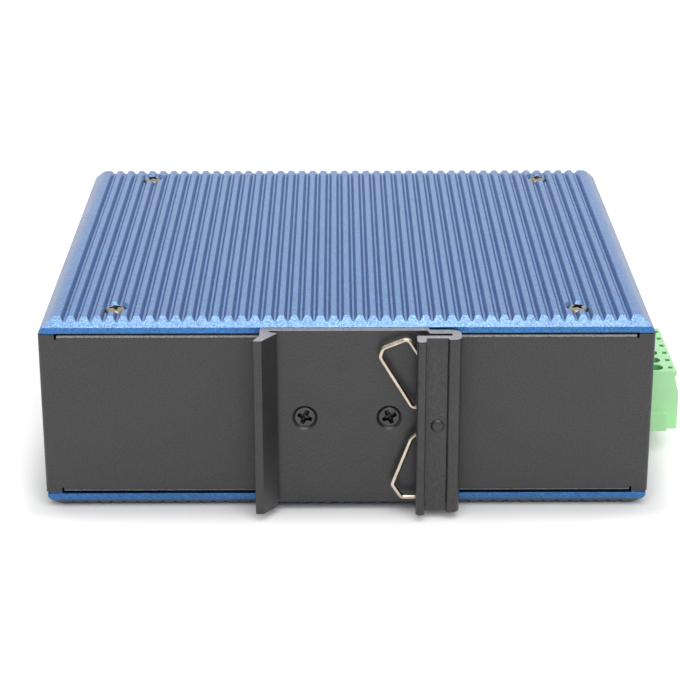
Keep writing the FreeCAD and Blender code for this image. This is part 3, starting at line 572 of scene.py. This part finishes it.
def makePin():  # the spring's pin: a plain shank under a low domed head that covers the lip's hole
    low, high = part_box("spring_pin")
    top = low.y / mm - pinShape["stand"]
    foot = high.y / mm - top
    shell = spun([(r, -d) for r, d in zip(pinShape["radii"], pinShape["depths"] + [foot, foot])], 40)
    turn = Vector((0, 0, 1)).rotation_difference(Vector((0, -1, 0))).to_matrix().to_4x4()
    place = Matrix.Translation(((low.x + high.x) / 2, top * mm, 0))
    bmesh.ops.transform(shell, matrix=place @ turn, verts=shell.verts)
    piece = addObject("springPinDomed", asMesh("springPinDomed", shell))
    smooth(piece.data, 40)
    piece.data.materials.append(materials["black_anodised"])
    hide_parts("spring_pin")
    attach(piece, "switch")


makePin()
for look in (
    {"name": "coverScrewsUpper", "node": "cover_screws_upper", "kind": "cover",
     "slot": "nickel_plated_steel", "heads": coverHeads("cover_screws_upper", 1)},
    {"name": "coverScrewsLower", "node": "cover_screws_lower", "kind": "cover",
     "slot": "nickel_plated_steel", "heads": coverHeads("cover_screws_lower", -1)},
    {"name": "clipScrews", "node": "din_clip_screws", "kind": "clip",
     "slot": "black_oxide_steel", "heads": clipHeads("din_clip_screws")},
    {"name": "panelScrews", "node": "front_panel_screws", "kind": "panel",
     "slot": "black_oxide_steel", "heads": panelHeads("front_panel_screws")},
    {"name": "earthScrew", "node": "ground_screw", "kind": "earth",
     "slot": "nickel_plated_steel", "heads": earthHead("ground_screw")},
):
    placeScrews(look)
print("stage: screws made")


studio = {
    "floorSize": 6.0, "floorColour": "#f0f0f0", "floorRoughness": 0.9,
    "floorLift": 0.34, "fadeMm": 12.0,  # brightening of the floor for camera and mirror rays, full this far from the case; nearer, it fades, keeping the real shadow and painting some shade
    "skyTilt": (0, 0.8, 0.6), "skySpan": (0.1, 0.95), "skyLow": 0.42, "skyHigh": 1.08,
    "keyPlace": (0.1, -0.75, 0.98), "keySize": 1.0, "keyPower": 10.5, "keyAim": (0, 0.05, 0),
    "cameraPlace": (-0.0022, -0.4500, 0.1929), "cameraDown": 21.33, "cameraTurn": -0.37,
    "lens": 106.3, "sensor": 36.0, "nearest": 0.01,
}


def seenDirectly(tree):  # 1 for camera, mirror and glass rays, 0 for those that light the object
    path = addNode(tree, "ShaderNodeLightPath")
    either = greater(tree, path.outputs["Is Camera Ray"], path.outputs["Is Glossy Ray"])
    return greater(tree, either, path.outputs["Is Transmission Ray"])


def makeFloor():  # white paper brightened for camera and mirror rays, less near the case: its real shadow stays, and the fade paints some shade round the case too
    half = studio["floorSize"] / 2
    level = cadBounds[0][2]
    corners = [(-half, -half, level), (half, -half, level), (half, half, level), (-half, half, level)]
    mesh = bpy.data.meshes.new("floor")
    mesh.from_pydata(corners, [], [(0, 1, 2, 3)])
    floor = addObject("floor", mesh)
    material, tree = newMaterial("matPaper")
    near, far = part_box("heatsink_cover_lower")
    middle = ((near.x + far.x) / 2, (near.y + far.y) / 2, level)
    reach = ((far.x - near.x) / 2, (far.y - near.y) / 2, 0)
    place = addNode(tree, "ShaderNodeTexCoord")
    offset = vectorStep(tree, "SUBTRACT", place.outputs["Object"], middle)
    beyond = vectorStep(tree, "SUBTRACT", vectorStep(tree, "ABSOLUTE", offset), reach)
    away = vectorStep(tree, "LENGTH", vectorStep(tree, "MAXIMUM", beyond, (0, 0, 0)))
    amount = ranged(tree, away, (0, studio["fadeMm"] * mm), (0, studio["floorLift"]), "SMOOTHSTEP")
    lift = addNode(tree, "ShaderNodeMath", {"operation": "MULTIPLY"},
                   {"Value": seenDirectly(tree), "Value_001": amount})
    shader = addNode(tree, "ShaderNodeBsdfPrincipled",
                     {"Base Color": srgb(studio["floorColour"]), "Roughness": studio["floorRoughness"],
                      "Specular IOR Level": 0.0, "Emission Color": (1, 1, 1, 1)},
                     {"Emission Strength": lift.outputs["Value"]})
    addNode(tree, "ShaderNodeOutputMaterial", None, {"Surface": shader.outputs["BSDF"]})
    mesh.materials.append(material)


def makeSky():  # paler overhead and behind, darker towards the horizon at the sides
    world = bpy.data.worlds.new("studioSky")
    world.use_nodes = True
    tree = world.node_tree
    tree.nodes.clear()
    place = addNode(tree, "ShaderNodeTexCoord")
    slope = vectorStep(tree, "DOT_PRODUCT", place.outputs["Generated"], studio["skyTilt"])
    strength = ranged(tree, slope, studio["skySpan"], (studio["skyLow"], studio["skyHigh"]),
                      "SMOOTHSTEP")
    back = addNode(tree, "ShaderNodeBackground", {"Color": (1, 1, 1, 1)}, {"Strength": strength})
    addNode(tree, "ShaderNodeOutputWorld", None, {"Surface": back.outputs["Background"]})
    bpy.context.scene.world = world


def makeLamp(name, place, size, power, aim):
    light = bpy.data.lights.new(name, "AREA")
    light.shape = "SQUARE"
    light.size = size
    light.energy = power
    lamp = addObject(name, light)
    lamp.location = place
    lamp.rotation_euler = (Vector(aim) - Vector(place)).to_track_quat("-Z", "Y").to_euler()


def makeCamera():
    data = bpy.data.cameras.new("camera")
    data.lens = studio["lens"]
    data.sensor_width = studio["sensor"]
    data.clip_start = studio["nearest"]
    camera = addObject("camera", data)
    camera.location = studio["cameraPlace"]
    tilt, turn = 90 - studio["cameraDown"], studio["cameraTurn"]
    camera.rotation_euler = (math.radians(tilt), 0, math.radians(turn))
    bpy.context.scene.camera = camera


makeFloor()
makeSky()
makeLamp("keySoftbox", studio["keyPlace"], studio["keySize"], studio["keyPower"], studio["keyAim"])
makeCamera()
bpy.context.scene.view_settings.view_transform = "Standard"
print("stage: floor, light and camera")
